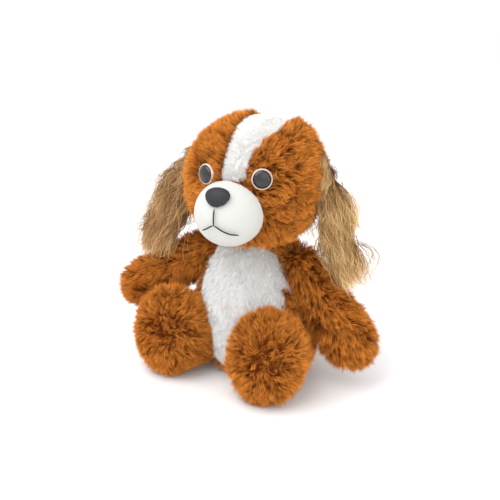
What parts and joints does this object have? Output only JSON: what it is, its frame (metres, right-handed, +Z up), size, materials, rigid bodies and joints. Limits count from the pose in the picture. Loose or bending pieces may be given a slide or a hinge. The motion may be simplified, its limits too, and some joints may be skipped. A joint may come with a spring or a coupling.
{
  "type": "plush dog",
  "caption": "Sitting soft toy dog with rust and white fur fabric, long hanging ears, a smooth white muzzle and posable head, ears, arms, legs and tail.",
  "frame": {"origin": "on the floor under the middle of the body, where the seat rests", "axes": "+Z up, -Y the way the dog faces, +X the dog's own left"},
  "size_m": [0.251, 0.1861, 0.241],
  "materials": {
    "rust_fur": "matte",
    "white_fur": "matte",
    "tan_fur": "matte",
    "ear_backing": "matte",
    "muzzle_velour": "matte",
    "nose_satin": "satin",
    "mouth_thread": "satin",
    "eye_plastic": "gloss",
    "eye_ring_plastic": "satin",
    "washer_plastic": "satin",
    "polyester_filling": "matte",
    "pellet_bag": "matte",
    "seam_thread": "matte",
    "label_ribbon": "satin"
  },
  "bodies": {
    "torso": {"back_cover": "rust_fur", "belly_panel": "white_fur", "body_filling": "polyester_filling", "seat_pellet_bag": "pellet_bag", "back_closing_stitch": "seam_thread", "care_label": "label_ribbon"},
    "neck": {"neck_gather": "seam_thread"},
    "head": {"head_left_panel": "rust_fur", "head_right_panel": "rust_fur", "forehead_blaze": "white_fur", "head_filling": "polyester_filling", "muzzle_cover": "muzzle_velour", "muzzle_filling": "polyester_filling", "nose_patch": "nose_satin", "mouth_centre_stitch": "mouth_thread", "mouth_left_stitch": "mouth_thread", "mouth_right_stitch": "mouth_thread", "left_eye": "eye_plastic", "left_eye_ring": "eye_ring_plastic", "left_eye_washer": "washer_plastic", "right_eye": "eye_plastic", "right_eye_ring": "eye_ring_plastic", "right_eye_washer": "washer_plastic"},
    "left_ear": {"left_ear_front": "tan_fur", "left_ear_back": "ear_backing"},
    "left_shoulder": {"left_shoulder_seam": "seam_thread"},
    "left_arm": {"left_arm_cover": "rust_fur", "left_arm_filling": "polyester_filling"},
    "left_leg": {"left_leg_cover": "rust_fur", "left_foot_sole": "rust_fur", "left_leg_filling": "polyester_filling", "left_hip_seam": "seam_thread"},
    "right_ear": {"right_ear_front": "tan_fur", "right_ear_back": "ear_backing"},
    "right_shoulder": {"right_shoulder_seam": "seam_thread"},
    "right_arm": {"right_arm_cover": "rust_fur", "right_arm_filling": "polyester_filling"},
    "right_leg": {"right_leg_cover": "rust_fur", "right_foot_sole": "rust_fur", "right_leg_filling": "polyester_filling", "right_hip_seam": "seam_thread"},
    "tail": {"tail_cover": "rust_fur"}
  },
  "joints": [
    {"name": "neck_turn", "type": "hinge", "parent": "torso", "child": "neck", "pos_m": [0, 0, 0.122], "axis": [0, 0, 1], "range_deg": [-25, 25]},
    {"name": "head_nod", "type": "hinge", "parent": "neck", "child": "head", "pos_m": [0, 0, 0.122], "axis": [1, 0, 0], "range_deg": [-8, 10]},
    {"name": "left_ear_lift", "type": "hinge", "parent": "head", "child": "left_ear", "pos_m": [0.061, 0.003, 0.209], "axis": [0, -1, 0], "range_deg": [0, 50]},
    {"name": "right_ear_lift", "type": "hinge", "parent": "head", "child": "right_ear", "pos_m": [-0.051, -0.009, 0.205], "axis": [0, 1, 0], "range_deg": [0, 50]},
    {"name": "left_arm_swing", "type": "hinge", "parent": "torso", "child": "left_shoulder", "pos_m": [0.046, 0, 0.11], "axis": [-1, 0, 0], "range_deg": [-8, 18]},
    {"name": "left_arm_raise", "type": "hinge", "parent": "left_shoulder", "child": "left_arm", "pos_m": [0.046, 0, 0.11], "axis": [0, -1, 0], "range_deg": [0, 10]},
    {"name": "right_arm_swing", "type": "hinge", "parent": "torso", "child": "right_shoulder", "pos_m": [-0.046, 0, 0.11], "axis": [-1, 0, 0], "range_deg": [-8, 14]},
    {"name": "right_arm_raise", "type": "hinge", "parent": "right_shoulder", "child": "right_arm", "pos_m": [-0.046, 0, 0.11], "axis": [0, 1, 0], "range_deg": [0, 6]},
    {"name": "left_leg_turn", "type": "hinge", "parent": "torso", "child": "left_leg", "pos_m": [0.036, -0.004, 0.03], "axis": [0, 0, -1], "range_deg": [-16, 4]},
    {"name": "right_leg_turn", "type": "hinge", "parent": "torso", "child": "right_leg", "pos_m": [-0.036, -0.004, 0.03], "axis": [0, 0, 1], "range_deg": [0, 14]},
    {"name": "tail_wag", "type": "hinge", "parent": "torso", "child": "tail", "pos_m": [0, 0.054, 0.03], "axis": [0, 0, 1], "range_deg": [-25, 25]}
  ]
}
